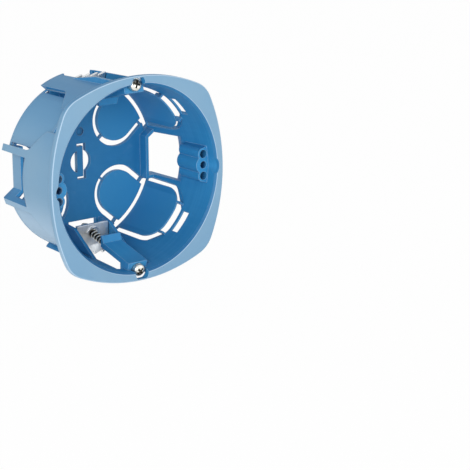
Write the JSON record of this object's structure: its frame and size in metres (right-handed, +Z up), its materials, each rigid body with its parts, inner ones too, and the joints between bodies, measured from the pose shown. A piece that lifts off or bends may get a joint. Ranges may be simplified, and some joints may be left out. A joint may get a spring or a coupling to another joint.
{
  "type": "hollow wall back box",
  "caption": "Round moulded back box for a hollow wall, with a bowed square flange, break-out cable entries and steel claws that leaning screws draw forward to grip the board.",
  "frame": {"origin": "middle of the flange's back face, on the axis of the round body", "axes": "+X to the right seen from the room, +Y into the wall, +Z up"},
  "size_m": [0.071, 0.038, 0.071],
  "materials": {
    "box_plastic": "satin blue moulding",
    "screw_steel": "bright zinc plating",
    "claw_steel": "dull zinc plating"
  },
  "bodies": {
    "back_box": {"box": "box_plastic"},
    "upper_screw": {"claw_screw_top": "screw_steel"},
    "lower_screw": {"claw_screw_bottom": "screw_steel"},
    "upper_claw": {"claw_top": "claw_steel"},
    "lower_claw": {"claw_bottom": "claw_steel"}
  },
  "joints": [
    {"name": "upper_screw_turn", "type": "hinge", "parent": "back_box", "child": "upper_screw", "pos_m": [0, -0.0009, 0.0326], "axis": [0, 0.9659, -0.2588], "range_deg": [0, 2250]},
    {"name": "lower_screw_turn", "type": "hinge", "parent": "back_box", "child": "lower_screw", "pos_m": [0, -0.0009, -0.0326], "axis": [0, 0.9659, 0.2588], "range_deg": [0, 2250]},
    {"name": "upper_claw_draw", "type": "slide", "parent": "back_box", "child": "upper_claw", "axis": [0, -0.9659, 0.2588], "range_m": [0, 0.01]},
    {"name": "lower_claw_draw", "type": "slide", "parent": "back_box", "child": "lower_claw", "axis": [0, -0.9659, -0.2588], "range_m": [0, 0.01]}
  ],
  "couplings": [
    {"joint": "upper_screw_turn", "follows": "upper_claw_draw", "rad_per_m": 3927},
    {"joint": "lower_screw_turn", "follows": "lower_claw_draw", "rad_per_m": 3927}
  ]
}
